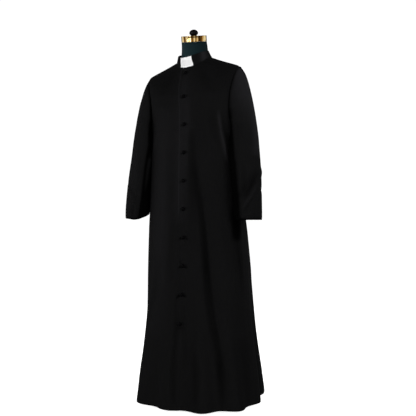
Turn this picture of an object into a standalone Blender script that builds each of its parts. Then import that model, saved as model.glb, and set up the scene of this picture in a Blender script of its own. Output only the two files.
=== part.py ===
"""A single-breasted cassock on a limbless dress form with a pole and a round base.

Metres, +Z up. The front faces -Y and +X is the wearer's left. The origin is on the floor, under the
middle of the base. Every cloth piece is a thin wall between an outer and an inner grid of points.

A place on the garment is given by a station, measured from the floor up the front and then over the
shoulder to the neckline, and a turn in degrees: 0 at centre front, 90 at the side of the wearer's
left, 180 at centre back.
"""

from collections import namedtuple
from math import cos, pi, radians, sin

import bmesh
import bpy
import numpy as np
from mathutils import Matrix, Vector

# ---- meshes ----
MERGE = 0.000001  # points this near are one
SHARP_ANGLE = 40.0  # degrees between faces, from which an edge is drawn sharp

# ---- cloth ----
WALL = 0.0020  # shell cloth with its interlining
SEAM_GAP = 0.0003
HEM = 0.012
UNDERARM = 1.144  # stations
SHOULDER_TIP = 1.404
NECKLINE = 1.574

# ---- front closing: the wearer's left front laps over the right ----
LAP = 0.024  # from centre front to the lapping edge
LAP_COLUMNS = (-1.0, -0.5, 0.0, 0.5, 1.0)  # shares of LAP, shared by both fronts
LAP_REST = 0.004  # past the lap's inner edge, where the lapping front starts to settle back
LIFT_EASE = 0.045  # width over which it settles

# ---- panel grids ----
SKIRT_ROWS = 15
ARMHOLE_ROWS = 8
YOKE_ROWS = 4
HEM_ROW = 0.028  # height of the lowest row, the hem turning
FRONT_COLUMNS = 11  # beside the lap
BACK_COLUMNS = 10

# ---- armhole ----
SCYE_FRONT = 33.0  # degrees that it is cut in from the side, front and back
SCYE_BACK = 24.0
SCYE_SQUARENESS = 2.5

# ---- buttons ----
BUTTON_COUNT = 10
BUTTON_FIRST_Z = 1.395
BUTTON_SECOND_Z = 1.294
BUTTON_PITCH = 0.1178
BUTTON_RADIUS = 0.0085
BUTTON_HEIGHT = 0.0060
BUTTON_SEAT = 0.0004
BUTTON_SIDES = 10

Share = namedtuple("Share", "radius height")

# Half of its outline, in shares of its radius and height; so is the knob's below.
BUTTON_PROFILE = (
    Share(0.00, 0.00),
    Share(0.62, 0.00),
    Share(1.00, 0.38),
    Share(0.84, 0.76),
    Share(0.44, 0.96),
    Share(0.00, 1.00),
)

# ---- collar ----
COLLAR_STRIP = 0.11  # share of the band's height that crosses below the notch
NOTCH_LOW = 0.031  # half widths of the notch at its bottom and at its top
NOTCH_TOP = 0.026
NOTCH_COLUMNS = 4
NOTCH_MARGIN = 0.001  # that the band's opening stays inside the notch
COLLAR_COLUMNS = 26
COLLAR_SHARES = (0.0, COLLAR_STRIP, 0.5, 1.0)  # the heights of its rows
TAB_THICKNESS = 0.0012
TAB_FOOT = 0.30  # how far its foot and head stay inside the band's first and last rows
TAB_HEAD = 0.02

# ---- sleeves ----
SLEEVE_CAP_ROWS = 6
SLEEVE_ROWS = 9
SLEEVE_TOP_Z = 1.104  # the first full ring, below the armhole
UNDER_SLEEVE_FRONT = 2  # loop steps of the under sleeve before and behind the underarm
UNDER_SLEEVE_BACK = 3
SLEEVE_CLEARANCE = 0.0028
CAP_DROP = 36.0  # degrees from the cloth that the cap leaves the armhole by, at the tip
CAP_LIFT = 90.0  # and at the underarm, where it leaves square to the cloth
CAP_LIFT_POWER = 0.8
CAP_LEAVE_SPEED = 0.50  # shares of the span, as the cap leaves the armhole and meets the sleeve
CAP_ARRIVE_SPEED = 0.36
SEAM_BLEND_ROWS = 2  # over which the wall turns from the armhole's edge to its own direction

# ---- dress form ----
FORM_BOTTOM_Z = 0.824
NECK_TILT = 13.4  # degrees forward, and to the wearer's left
NECK_LEAN = 3.3
NECK_TOP_Z = 1.540
NECK_TOP_Y = -0.014
NECK_TOP_RADIUS = 0.0542
SIDE_POWER = 6  # how closely the form's extra gap keeps to its sides
NECK_CAP_RADIUS = 0.0548
NECK_CAP_HEIGHT = 0.0250
NECK_CAP_EDGE = 0.0012
NECK_CAP_SIDES = 32
KNOB_RADIUS = 0.0190
KNOB_HEIGHT = 0.0265
KNOB_SIDES = 20
POLE_RADIUS = 0.0160
POLE_SIDES = 16
BASE_HUB_HEIGHT = 0.060
BASE_SIDES = 40
SEAT_GAP = 0.0003

KNOB_PROFILE = (
    Share(0.00, 0.00),
    Share(0.58, 0.00),
    Share(0.64, 0.10),
    Share(0.92, 0.31),
    Share(1.00, 0.52),
    Share(0.93, 0.72),
    Share(0.70, 0.90),
    Share(0.36, 0.98),
    Share(0.00, 1.00),
)

Turned = namedtuple("Turned", "radius height")

# Half of the base's outline, from its underside up to the top of its hub.
BASE_PROFILE = (
    Turned(0.0, 0.0),
    Turned(0.135, 0.0),
    Turned(0.135, 0.0072),
    Turned(0.1302, 0.012),
    Turned(0.068, 0.021),
    Turned(0.034, 0.0372),
    Turned(0.0272, BASE_HUB_HEIGHT),
    Turned(0.0, BASE_HUB_HEIGHT),
)

Ring = namedtuple(
    "Ring", "station z_front z_side z_back half_width front back squareness rise sway lean"
)

# Sections of the outer cloth surface, hem to neckline. front and back are depths from the middle,
# rise shapes how the height changes between front and side, sway moves a section sideways and lean
# raises its left side and lowers its right.
BODY = (
    Ring(0.012, 0.012, 0.012, 0.012, 0.258, 0.214, 0.345, 2.25, 1.0, 0.012, 0.0),
    Ring(0.124, 0.124, 0.124, 0.124, 0.251, 0.196, 0.328, 2.25, 1.0, 0.010, 0.0),
    Ring(0.274, 0.274, 0.274, 0.274, 0.239, 0.172, 0.308, 2.25, 1.0, 0.008, 0.0),
    Ring(0.424, 0.424, 0.424, 0.424, 0.229, 0.146, 0.286, 2.25, 1.0, 0.006, 0.0),
    Ring(0.574, 0.574, 0.574, 0.574, 0.224, 0.128, 0.250, 2.30, 1.0, 0.004, 0.0),
    Ring(0.724, 0.724, 0.724, 0.724, 0.218, 0.119, 0.203, 2.30, 1.0, 0.002, 0.0),
    Ring(0.874, 0.874, 0.874, 0.874, 0.204, 0.115, 0.166, 2.35, 1.0, 0.000, 0.0),
    Ring(1.024, 1.024, 1.024, 1.024, 0.197, 0.112, 0.150, 2.40, 1.0, 0.000, 0.0),
    Ring(1.144, 1.144, 1.144, 1.144, 0.197, 0.107, 0.148, 2.40, 1.0, 0.000, 0.0),
    Ring(1.234, 1.214, 1.239, 1.236, 0.203, 0.106, 0.147, 2.40, 1.1, -0.001, 0.001),
    Ring(1.324, 1.279, 1.331, 1.324, 0.211, 0.104, 0.140, 2.30, 1.2, -0.004, 0.004),
    Ring(1.374, 1.308, 1.386, 1.374, 0.214, 0.102, 0.133, 2.18, 1.3, -0.006, 0.007),
    Ring(1.404, 1.326, 1.413, 1.402, 0.211, 0.100, 0.122, 2.08, 1.4, -0.007, 0.008),
    Ring(1.454, 1.355, 1.429, 1.430, 0.173, 0.096, 0.107, 2.05, 1.6, -0.006, 0.008),
    Ring(1.504, 1.380, 1.444, 1.453, 0.130, 0.091, 0.091, 2.05, 1.8, -0.005, 0.007),
    Ring(1.544, 1.398, 1.456, 1.466, 0.100, 0.087, 0.076, 2.05, 1.8, -0.004, 0.006),
    Ring(1.574, 1.412, 1.466, 1.477, 0.077, 0.083, 0.062, 2.05, 1.7, -0.003, 0.005),
)

# The collar band, from the neckline up to its top edge; the station is the share of its height.
COLLAR = (
    Ring(0.00, 1.4128, 1.4666, 1.4776, 0.077, 0.083, 0.062, 2.05, 1.7, -0.003, 0.005),
    Ring(0.50, 1.4360, 1.4810, 1.4940, 0.070, 0.087, 0.055, 2.05, 1.5, -0.005, 0.005),
    Ring(1.00, 1.4600, 1.4960, 1.5110, 0.064, 0.090, 0.050, 2.05, 1.3, -0.006, 0.005),
)

# The form's neck, above the neckline and below its flat top; the station is a count of its rings.
FORM_NECK = (
    Ring(1.0, 1.420, 1.472, 1.482, 0.0660, 0.0740, 0.0550, 2.0, 1.6, -0.003, 0.004),
    Ring(2.0, 1.444, 1.485, 1.492, 0.0590, 0.0700, 0.0460, 2.0, 1.2, -0.003, 0.003),
    Ring(3.0, 1.489, 1.506, 1.516, 0.0560, 0.0690, 0.0430, 2.0, 1.0, -0.001, 0.0),
)

FormGap = namedtuple("FormGap", "station gap side_gap")

# How far the form stays inside the cloth, and how much more at its sides, where it has no arms.
FORM_GAPS = (
    FormGap(0.824, 0.0300, 0.000),
    FormGap(0.924, 0.0160, 0.000),
    FormGap(1.034, 0.0100, 0.002),
    FormGap(1.144, 0.0070, 0.006),
    FormGap(1.274, 0.0040, 0.012),
    FormGap(1.374, 0.0020, 0.010),
    FormGap(1.404, 0.0012, 0.005),
    FormGap(1.447, 0.0007, 0.000),
    FormGap(1.574, 0.0007, 0.000),
)
FORM_STATIONS = (0.824, 0.874, 0.934, 0.994, 1.059, 1.144, 1.209, 1.274, 1.339, 1.374)

Fold = namedtuple("Fold", "turn_top turn_hem start depth spread")

# Folds of the skirt: the turn where each begins and where it meets the hem, the station it starts
# from, its depth at the hem (outward is positive) and its half width there in degrees.
FOLDS = (
    Fold(-4, -9, 0.42, 0.014, 9),
    Fold(8, 9, 0.40, -0.014, 8),
    Fold(14, 24, 0.58, 0.015, 9),
    Fold(17, 44, 0.96, -0.024, 11),
    Fold(36, 60, 0.60, 0.015, 11),
    Fold(68, 78, 0.48, -0.012, 9),
    Fold(-22, -24, 0.44, -0.008, 8),
    Fold(-38, -43, 0.58, 0.020, 12),
    Fold(-62, -70, 0.64, -0.014, 11),
    Fold(96, 98, 0.52, 0.014, 7),
    Fold(110, 110, 0.78, -0.026, 7),
    Fold(124, 125, 0.32, 0.010, 9),
    Fold(146, 146, 0.88, -0.022, 9),
    Fold(164, 165, 0.92, 0.014, 9),
    Fold(180, 180, 0.94, -0.018, 8),
    Fold(-163, -163, 0.92, 0.015, 9),
    Fold(-145, -144, 0.88, -0.022, 9),
    Fold(-125, -126, 0.82, 0.016, 10),
    Fold(-108, -109, 0.78, -0.022, 8),
    Fold(-94, -94, 0.68, 0.011, 8),
)

SleeveRing = namedtuple("SleeveRing", "z x y half_major half_minor")

# Sections of a hanging sleeve, bicep to cuff: middle, half sizes; x is outward from the body.
SLEEVE = (
    SleeveRing(1.104, 0.2310, -0.024, 0.065, 0.056),
    SleeveRing(1.004, 0.2455, -0.040, 0.067, 0.044),
    SleeveRing(0.939, 0.2510, -0.043, 0.066, 0.043),
    SleeveRing(0.874, 0.2555, -0.045, 0.064, 0.041),
    SleeveRing(0.772, 0.2620, -0.046, 0.060, 0.038),
)

Arm = namedtuple("Arm", "name side yaw_top yaw_cuff fullness cuff_z outer_rise inner_rise")

# The flattened sleeve is turned by its yaws, in degrees from +X, mirrored on the other arm. Fullness
# scales its sections. The cuff's edge rises from its lowest height to its outer and inner sides.
ARMS = (
    Arm("left", 1, 48.0, 48.0, 1.02, 0.778, 0.002, 0.000),
    Arm("right", -1, 44.0, 12.0, 1.05, 0.773, 0.010, 0.032),
)
RISE_OUTER = -25.0  # directions of the two rises, in degrees from straight outwards
RISE_INNER = 155.0
RISE_SHARPNESS = 3.0
RISE_REACH = 0.12  # height over which the rises fade upwards

Finish = namedtuple("Finish", "colour roughness metallic")

FINISHES = {
    "black_cloth": Finish((0.010, 0.010, 0.013), 0.62, 0.0),
    "button_cloth": Finish((0.007, 0.007, 0.009), 0.55, 0.0),
    "white_tab": Finish((0.90, 0.90, 0.92), 0.45, 0.0),
    "form_jersey": Finish((0.018, 0.050, 0.060), 0.80, 0.0),
    "brass": Finish((0.78, 0.52, 0.20), 0.22, 1.0),
    "black_lacquer": Finish((0.008, 0.008, 0.009), 0.12, 0.0),
    "dark_steel": Finish((0.060, 0.060, 0.065), 0.40, 1.0),
}


# ---- reading the tables ----
def smooth_between(at, xs, ys):
    """A smooth curve through a table's column that never overshoots its values."""
    xs = np.asarray(xs, float)
    ys = np.asarray(ys, float)
    widths = np.diff(xs)
    rises = np.diff(ys) / widths
    slopes = np.zeros_like(ys)
    slopes[0], slopes[-1] = rises[0], rises[-1]
    for k in range(1, len(ys) - 1):
        before, after = rises[k - 1], rises[k]
        if before * after > 0:
            slopes[k] = 2 * before * after / (before + after)
    at = min(max(at, xs[0]), xs[-1])
    i = int(np.clip(np.searchsorted(xs, at) - 1, 0, len(xs) - 2))
    t = (at - xs[i]) / widths[i]
    start = (2 * t**3 - 3 * t**2 + 1) * ys[i] + (t**3 - 2 * t**2 + t) * widths[i] * slopes[i]
    end = (3 * t**2 - 2 * t**3) * ys[i + 1] + (t**3 - t**2) * widths[i] * slopes[i + 1]
    return start + end


def row_at(table, at):
    """The table's row at this value of its first column."""
    columns = list(zip(*table))
    values = [float(smooth_between(at, columns[0], column)) for column in columns]
    return type(table[0])(*values)


def ease(share):
    share = min(max(share, 0.0), 1.0)
    return share * share * (3 - 2 * share)


# ---- the garment's surface ----
def fold_depth(station, turn):
    total = 0.0
    for fold in FOLDS:
        if station >= fold.start:
            continue
        share = (fold.start - station) / (fold.start - HEM)
        middle = fold.turn_top + (fold.turn_hem - fold.turn_top) * share
        away = (turn - middle + 180) % 360 - 180
        total += fold.depth * ease(share) * np.exp(-((away / fold.spread) ** 2))
    return total


def on_ring(ring, turn, out=0.0):
    """The point of a section at this turn, moved out from its middle."""
    angle = radians(turn)
    depth = ring.front if cos(angle) >= 0 else ring.back
    plan = np.arctan2(ring.half_width * sin(angle), depth * cos(angle))
    power = ring.squareness
    reach = abs(sin(plan) / ring.half_width) ** power + abs(cos(plan) / depth) ** power
    reach = reach ** (-1 / power) + out
    end = ring.z_front if cos(angle) >= 0 else ring.z_back
    z = ring.z_side + (end - ring.z_side) * abs(cos(angle)) ** ring.rise
    return Vector((ring.sway + reach * sin(plan), -reach * cos(plan), z + ring.lean * sin(angle)))


def body_point(station, turn):
    return on_ring(row_at(BODY, station), turn, fold_depth(station, turn))


def body_frame(station, turn):
    """A point of the outer surface, its outward normal and its direction of growing turn."""
    step = 0.6
    rise = 0.004
    here = body_point(station, turn)
    low = max(station - rise, HEM)
    high = min(station + rise, NECKLINE)
    around = (body_point(station, turn + step) - body_point(station, turn - step)).normalized()
    upward = (body_point(high, turn) - body_point(low, turn)).normalized()
    return here, around.cross(upward).normalized(), around


def turn_of_x(station, x):
    half_width = row_at(BODY, station).half_width
    return float(np.degrees(np.arcsin(x / half_width)))


def armhole_turn(station, back):
    """The turn of the armhole's edge at a station, or of the side and shoulder seams past it."""
    share = (station - UNDERARM) / (SHOULDER_TIP - UNDERARM)
    if not 0.0 < share < 1.0:
        return 90.0
    cut = (1 - abs(2 * share - 1) ** SCYE_SQUARENESS) ** (1 / SCYE_SQUARENESS)
    return 90.0 + SCYE_BACK * cut if back else 90.0 - SCYE_FRONT * cut


def armhole_stations():
    """Stations from the underarm to the tip, closer at both ends, where the edge turns."""
    steps = np.linspace(0.0, pi, ARMHOLE_ROWS + 1)
    return UNDERARM + (SHOULDER_TIP - UNDERARM) * (1 - np.cos(steps)) / 2


def body_stations():
    skirt = np.linspace(HEM + HEM_ROW, UNDERARM, SKIRT_ROWS)
    armhole = armhole_stations()
    yoke = np.linspace(SHOULDER_TIP, NECKLINE, YOKE_ROWS + 1)
    return [HEM, *skirt, *armhole[1:], *yoke[1:]]


# ---- solids ----
def make_object(name, bm, finish):
    bmesh.ops.recalc_face_normals(bm, faces=bm.faces)
    mesh = bpy.data.meshes.new(name)
    bm.to_mesh(mesh)
    bm.free()
    mesh.shade_smooth()
    mesh.set_sharp_from_angle(angle=radians(SHARP_ANGLE))
    obj = bpy.data.objects.new(name, mesh)
    bpy.context.scene.collection.objects.link(obj)
    mesh.materials.append(material(finish))
    return obj


def material(name):
    found = bpy.data.materials.get(name)
    if found:
        return found
    finish = FINISHES[name]
    made = bpy.data.materials.new(name)
    made.use_nodes = True
    shader = made.node_tree.nodes["Principled BSDF"]
    shader.inputs["Base Color"].default_value = (*finish.colour, 1)
    shader.inputs["Roughness"].default_value = finish.roughness
    shader.inputs["Metallic"].default_value = finish.metallic
    return made


def add_quad(bm, low, low_next, high_next, high):
    """Two triangles on a fixed diagonal, so that walls lying on each other stay parallel."""
    bm.faces.new((low, low_next, high_next))
    bm.faces.new((low, high_next, high))


def wall_solid(name, outer, inner, finish, cut=(), crossed=0):
    """Closes an outer and an inner grid of points into a wall.

    cut lists the cells left out. The first crossed columns take the other diagonal, because they
    run back over the centre front.
    """
    bm = bmesh.new()
    rows = len(outer) - 1
    columns = len(outer[0]) - 1
    cells = {(i, j) for i in range(rows) for j in range(columns)} - set(cut)
    corners = {(i + a, j + b) for i, j in cells for a in (0, 1) for b in (0, 1)}
    out = {key: bm.verts.new(outer[key[0]][key[1]]) for key in sorted(corners)}
    back = {key: bm.verts.new(inner[key[0]][key[1]]) for key in sorted(corners)}
    for i, j in sorted(cells):
        loop = [(i, j), (i, j + 1), (i + 1, j + 1), (i + 1, j)]
        quad = [loop[k] for k in (1, 0, 3, 2)] if j < crossed else loop
        for side in (out, back):
            add_quad(bm, *[side[key] for key in quad])
        neighbours = [(i - 1, j), (i, j + 1), (i + 1, j), (i, j - 1)]
        for k, neighbour in enumerate(neighbours):
            if neighbour not in cells:
                low, high = sorted((loop[k], loop[(k + 1) % 4]))
                add_quad(bm, out[low], out[high], back[high], back[low])
    return make_object(name, bm, finish)


def loft(name, rings, finish):
    """A closed solid through rings of points, with a flat face at each end.

    Its quads are cut as those of the panels, whose columns run from the front and side to the back.
    """
    bm = bmesh.new()
    loops = [[bm.verts.new(point) for point in ring] for ring in rings]
    count = len(rings[0])
    for low, high in zip(loops, loops[1:]):
        for k in range(count):
            a, b = k, (k + 1) % count
            if k >= count // 2:
                a, b = b, a
            add_quad(bm, low[a], low[b], high[b], high[a])
    bm.faces.new(loops[0])
    bm.faces.new(loops[-1])
    return make_object(name, bm, finish)


def scaled(profile, radius, height):
    """A profile's shares as sizes."""
    return [(share.radius * radius, share.height * height) for share in profile]


def turned(name, profile, sides, finish, place=None):
    """Spins a profile of (radius, height) points that starts and ends on the axis."""
    bm = bmesh.new()
    verts = [bm.verts.new((radius, 0, height)) for radius, height in profile]
    edges = [bm.edges.new(pair) for pair in zip(verts, verts[1:])]
    bmesh.ops.spin(
        bm,
        geom=verts + edges,
        cent=(0, 0, 0),
        axis=(0, 0, 1),
        angle=2 * pi,
        steps=sides,
        use_merge=True,
    )
    bmesh.ops.remove_doubles(bm, verts=bm.verts, dist=MERGE)
    if place:
        bmesh.ops.transform(bm, matrix=place, verts=bm.verts)
    return make_object(name, bm, finish)


# ---- fronts and backs ----
def front_turns(station, side):
    """The turns of one front's columns, from its lapping edge to its side; side is 1 on the left."""
    lap = [side * turn_of_x(station, share * LAP) for share in LAP_COLUMNS]
    edge = armhole_turn(station, back=False)
    rest = np.linspace(lap[-1] * side, edge, FRONT_COLUMNS + 1)[1:]
    if side < 0:
        lap = [-turn for turn in lap]
    return [side * turn for turn in lap] + [side * turn for turn in rest]


def back_turns(station, side):
    edge = armhole_turn(station, back=True)
    return [side * turn for turn in np.linspace(edge, 180.0, BACK_COLUMNS + 1)]


def lapping_lift(station, turn):
    """How far the lapping front stands off the surface, over the front beneath."""
    x = row_at(BODY, station).half_width * sin(radians(turn))
    return (WALL + SEAM_GAP) * ease((LAP + LAP_REST + LIFT_EASE - x) / LIFT_EASE)


def panel_grids(turns_of, side, lift=None, shrink=(True, True)):
    """Outer and inner grids of a panel; the shrunk edges stand half a seam gap inside it."""
    outer, inner = [], []
    for station in body_stations():
        turns = turns_of(station, side)
        frames = [body_frame(station, turn) for turn in turns]
        out_row, in_row = [], []
        for k, (point, normal, around) in enumerate(frames):
            step = 0.0
            if k == 0 and shrink[0]:
                step = SEAM_GAP / 2
            if k == len(frames) - 1 and shrink[1]:
                step = -SEAM_GAP / 2
            growing = 1 if turns[-1] > turns[0] else -1
            point = point + around * (step * growing)
            raised = lift(station, turns[k]) if lift else 0.0
            out_row.append(point + normal * raised)
            in_row.append(point + normal * (raised - WALL))
        outer.append(out_row)
        inner.append(in_row)
    return outer, inner


def make_body():
    crossed = LAP_COLUMNS.index(0.0)
    left = panel_grids(front_turns, 1, lapping_lift, (False, True))
    wall_solid("front_left", *left, "black_cloth", crossed=crossed)
    right = panel_grids(front_turns, -1, None, (False, True))
    wall_solid("front_right", *right, "black_cloth", crossed=crossed)
    wall_solid("back_left", *panel_grids(back_turns, 1), "black_cloth")
    wall_solid("back_right", *panel_grids(back_turns, -1), "black_cloth")
    return left[0]


# ---- buttons ----
def button_heights():
    rest = [BUTTON_SECOND_Z - BUTTON_PITCH * k for k in range(BUTTON_COUNT - 1)]
    return [BUTTON_FIRST_Z, *rest]


def make_buttons(front):
    """Domed buttons on the lapping front's centre column, each square to the cloth under it."""
    centre = LAP_COLUMNS.index(0.0)
    column = [row[centre] for row in front]
    profile = scaled(BUTTON_PROFILE, BUTTON_RADIUS, BUTTON_HEIGHT)
    for number, z in enumerate(button_heights(), start=1):
        row = max(k for k, point in enumerate(column) if point.z <= z)
        share = (z - column[row].z) / (column[row + 1].z - column[row].z)
        point = column[row].lerp(column[row + 1], share)
        upward = (column[row + 1] - column[row]).normalized()
        normal = Vector((1, 0, 0)).cross(upward).normalized()
        place = Matrix.Translation(point + normal * BUTTON_SEAT)
        place = place @ normal.to_track_quat("Z", "Y").to_matrix().to_4x4()
        turned(f"button_{number:02d}", profile, BUTTON_SIDES, "button_cloth", place)


# ---- collar ----
def collar_frame(share, turn):
    """A point of the band's outer surface and its outward normal."""
    step = 1.0
    rise = 0.05
    low, high = max(share - rise, 0.0), min(share + rise, 1.0)
    around = on_ring(row_at(COLLAR, share), turn + step) - on_ring(row_at(COLLAR, share), turn - step)
    upward = on_ring(row_at(COLLAR, high), turn) - on_ring(row_at(COLLAR, low), turn)
    return on_ring(row_at(COLLAR, share), turn), around.cross(upward).normalized()


def collar_turn(share, x):
    return float(np.degrees(np.arcsin(x / row_at(COLLAR, share).half_width)))


def collar_rows():
    """Frames of the band's outer surface, a row for each share of its height.

    The band opens at the lapping edge. Its first columns cross the notch, and the last one closes it.
    """
    rows = []
    for share in COLLAR_SHARES:
        notch = NOTCH_LOW + (NOTCH_TOP - NOTCH_LOW) * share
        start = collar_turn(share, -min(LAP, notch - NOTCH_MARGIN))
        near = collar_turn(share, notch)
        crossing = np.linspace(start, near, NOTCH_COLUMNS + 1)
        around = np.linspace(near, 360.0 - near, COLLAR_COLUMNS + 1)[1:]
        last = 360.0 + start - float(np.degrees(SEAM_GAP / row_at(COLLAR, share).front))
        rows.append([collar_frame(share, turn) for turn in (*crossing, *around, last)])
    return rows


def make_collar(rows):
    """The band, whose lower strip alone crosses the notch."""
    outer = [[point for point, _ in row] for row in rows]
    inner = [[point - normal * WALL for point, normal in row] for row in rows]
    columns = len(rows[0]) - 1
    in_notch = [*range(NOTCH_COLUMNS), columns - 1]
    cut = [(row, column) for row in range(1, len(rows) - 1) for column in in_notch]
    wall_solid("collar_band", outer, inner, "black_cloth", cut)


def make_tab(rows):
    """The white insert stands just inside the band, from its points, and shows through the notch."""
    picked = [-3, -2, *range(NOTCH_COLUMNS + 2)]
    back_of_band = WALL + SEAM_GAP
    grids = []
    for depth in (back_of_band, back_of_band + TAB_THICKNESS):
        grid = [[row[k][0] - row[k][1] * depth for k in picked] for row in rows]
        for edge, beside, share in ((0, 1, TAB_FOOT), (-1, -2, TAB_HEAD)):
            grid[edge] = [a.lerp(b, share) for a, b in zip(grid[edge], grid[beside])]
        grids.append(grid)
    wall_solid("collar_tab", *grids, "white_tab")


# ---- sleeves ----
def armhole_loop(side):
    """Frames round the armhole, from the underarm up the front, over the tip and down the back.

    Each gives the edge point, the cloth's normal, the way out of the panel, and the drop from the
    tip, 0 at the shoulder and 1 at the underarm.
    """
    stations = armhole_stations()
    path = [(station, False) for station in stations] + [
        (station, True) for station in stations[-2::-1]
    ]
    places = [body_frame(s, side * armhole_turn(s, back)) for s, back in path]
    loop = []
    for k, (station, _) in enumerate(path[:-1]):
        point, normal, _ = places[k]
        before = places[k - 1 if k else -2][0]
        along = (places[k + 1][0] - before).normalized()
        outward = along.cross(normal).normalized()
        middle = Vector((point.x, 0.0, (places[0][0].z + places[ARMHOLE_ROWS][0].z) / 2))
        if outward.dot(middle - point) < 0:
            outward.negate()
        drop = (SHOULDER_TIP - station) / (SHOULDER_TIP - UNDERARM)
        loop.append((point, normal, outward, drop))
    return loop


def cuff_rise(arm, z, direction):
    """How far a point near the cuff is raised, so that the cuff's edge isn't level."""
    fade = 1.0 - ease((z - arm.cuff_z) / RISE_REACH)
    outer = ((1 + cos(direction - radians(RISE_OUTER))) / 2) ** RISE_SHARPNESS
    inner = ((1 + cos(direction - radians(RISE_INNER))) / 2) ** RISE_SHARPNESS
    return fade * (arm.outer_rise * outer + arm.inner_rise * inner)


def sleeve_ring_point(arm, z, direction):
    """The point of the hanging sleeve's section in this direction, kept clear of the body."""
    ring = row_at(tuple(reversed(SLEEVE)), z)
    share = (SLEEVE_TOP_Z - z) / (SLEEVE_TOP_Z - arm.cuff_z)
    yaw = radians(arm.yaw_top + (arm.yaw_cuff - arm.yaw_top) * ease(share))
    turned_by = direction - yaw
    reach = (cos(turned_by) / ring.half_major) ** 2 + (sin(turned_by) / ring.half_minor) ** 2
    reach = arm.fullness * reach**-0.5
    x = arm.side * (ring.x + reach * cos(direction))
    y = ring.y + reach * sin(direction)
    return clear_of_body(Vector((x, y, z + cuff_rise(arm, z, direction))))


def clear_of_body(point):
    """Moves a point that is inside the garment's side, or too near it, out to just clear of it."""
    ring = row_at(BODY, point.z)
    from_middle = Vector((point.x - ring.sway, point.y))
    depth = ring.front if point.y <= 0 else ring.back
    plan = np.arctan2(from_middle.x, -from_middle.y)
    power = ring.squareness
    reach = abs(sin(plan) / ring.half_width) ** power + abs(cos(plan) / depth) ** power
    turn = np.degrees(np.arctan2(sin(plan) * depth, cos(plan) * ring.half_width))
    least = reach ** (-1 / power) + fold_depth(point.z, float(turn)) + SLEEVE_CLEARANCE
    if from_middle.length < least:
        from_middle = from_middle.normalized() * least
    return Vector((ring.sway + from_middle.x, from_middle.y, point.z))


def sleeve_grid(arm):
    """Outer points of the whole sleeve, a row for each ring, and the way inward of each point."""
    loop = armhole_loop(arm.side)
    count = len(loop)
    heights = np.linspace(SLEEVE_TOP_Z, arm.cuff_z, SLEEVE_ROWS + 1)
    columns = []
    starts = []
    for k, (point, normal, outward, drop) in enumerate(loop):
        direction = pi + 2 * pi * k / count
        lift = radians(CAP_DROP + (CAP_LIFT - CAP_DROP) * drop**CAP_LIFT_POWER)
        raised = max(lift, 0.0)
        leave = outward * cos(lift) + normal * sin(lift)
        first = point + outward * SEAM_GAP + normal * (SEAM_GAP * raised / (pi / 2))
        ring_points = [sleeve_ring_point(arm, z, direction) for z in heights]
        span = ring_points[0] - first
        arrive = (ring_points[1] - ring_points[0]).normalized()
        column = [first]
        for step in range(1, SLEEVE_CAP_ROWS):
            t = step / SLEEVE_CAP_ROWS
            leave_speed = span.length * CAP_LEAVE_SPEED
            arrive_speed = span.length * CAP_ARRIVE_SPEED
            spot = first * (2 * t**3 - 3 * t**2 + 1) + ring_points[0] * (3 * t**2 - 2 * t**3)
            spot += leave * (leave_speed * (t**3 - 2 * t**2 + t))
            spot += arrive * (arrive_speed * (t**3 - t**2))
            column.append(spot)
        columns.append(column + ring_points)
        starts.append(-(normal * cos(raised) - outward * sin(raised)))
    rows = [[column[r] for column in columns] for r in range(len(columns[0]))]
    return rows, starts


def sleeve_walls(arm):
    """Outer and inner rows of the sleeve as a closed tube."""
    rows, starts = sleeve_grid(arm)
    count = len(rows[0])
    inner = []
    for r, row in enumerate(rows):
        above, below = rows[max(r - 1, 0)], rows[min(r + 1, len(rows) - 1)]
        in_row = []
        for k, point in enumerate(row):
            around = row[(k + 1) % count] - row[k - 1]
            down = below[k] - above[k]
            normal = around.cross(down).normalized() * -arm.side
            share = max(1.0 - r / SEAM_BLEND_ROWS, 0.0)
            inward = (starts[k] * share - normal * (1.0 - share)).normalized()
            in_row.append(point + inward * WALL)
        inner.append(in_row)
    return rows, inner


def make_sleeve(arm):
    outer, inner = sleeve_walls(arm)
    count = len(outer[0])
    front, back = UNDER_SLEEVE_FRONT, count - UNDER_SLEEVE_BACK
    pieces = {
        f"sleeve_{arm.name}_top": list(range(front, back + 1)),
        f"sleeve_{arm.name}_under": [k % count for k in range(back, count + front + 1)],
    }
    for name, picked in pieces.items():
        out_rows = [[row[k].copy() for k in picked] for row in outer]
        in_rows = [[row[k].copy() for k in picked] for row in inner]
        for edge, beside in ((0, 1), (-1, -2)):
            seam = [row[edge].copy() for row in out_rows]
            for r, (out_row, in_row) in enumerate(zip(out_rows, in_rows)):
                along = (seam[min(r + 1, len(seam) - 1)] - seam[max(r - 1, 0)]).normalized()
                into_piece = out_row[beside] - out_row[edge]
                into_piece -= along * into_piece.dot(along)
                into_piece = into_piece.normalized() * (SEAM_GAP / 2)
                out_row[edge] += into_piece
                in_row[edge] += into_piece
        wall_solid(name, out_rows, in_rows, "black_cloth")


# ---- dress form ----
def form_turns(station):
    """All round, on the columns of the fronts and backs, so that the facets lie in parallel."""
    lap = [turn_of_x(station, share * LAP) for share in LAP_COLUMNS if share >= 0]
    front = np.linspace(lap[-1], 90.0, FRONT_COLUMNS + 1)[1:]
    back = np.linspace(90.0, 180.0, BACK_COLUMNS + 1)[1:]
    half = [*lap, *front, *back]
    return half + [360.0 - turn for turn in reversed(half[1:-1])]


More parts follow.
